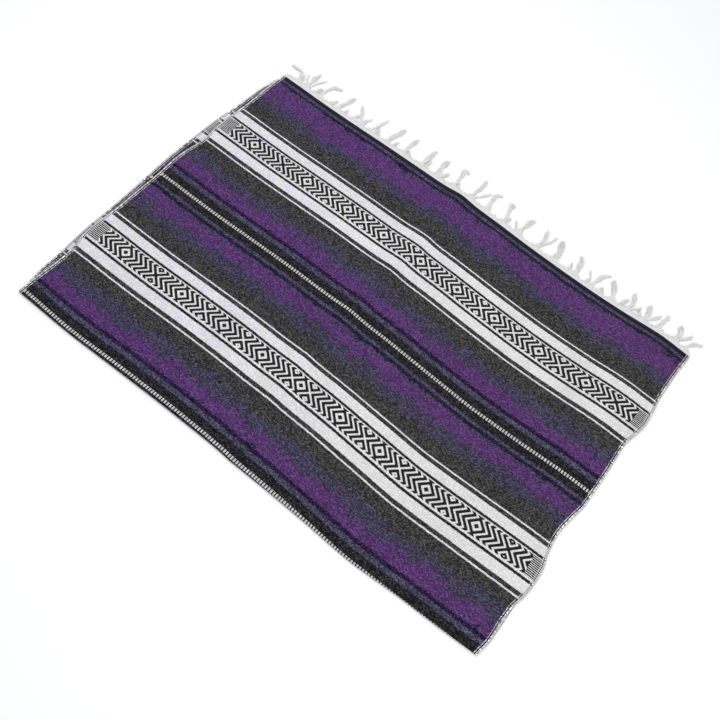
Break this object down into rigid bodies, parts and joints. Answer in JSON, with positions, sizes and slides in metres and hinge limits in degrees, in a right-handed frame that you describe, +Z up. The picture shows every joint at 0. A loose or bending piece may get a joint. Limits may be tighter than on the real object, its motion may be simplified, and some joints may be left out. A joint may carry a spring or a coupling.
{
  "type": "folded blanket",
  "caption": "Striped handloom blanket with diamond bands, folded once and laid flat, its fringed ends together at the far edge.",
  "frame": {"origin": "middle of the bounding box, on the surface that the blanket lies on", "axes": "+X along the fold from the left selvage to the right one, +Y from the fold towards the fringe, +Z up"},
  "size_m": [1.3276, 1.0612, 0.0094],
  "materials": {
    "striped_weave": "matte weft-faced weave in purple, slate, charcoal, black and white stripes",
    "warp_cotton": "matte off-white twisted warp yarn"
  },
  "bodies": {
    "root": {"cloth": "striped_weave", "fringe_upper": "warp_cotton", "fringe_lower": "warp_cotton"}
  },
  "joints": []
}
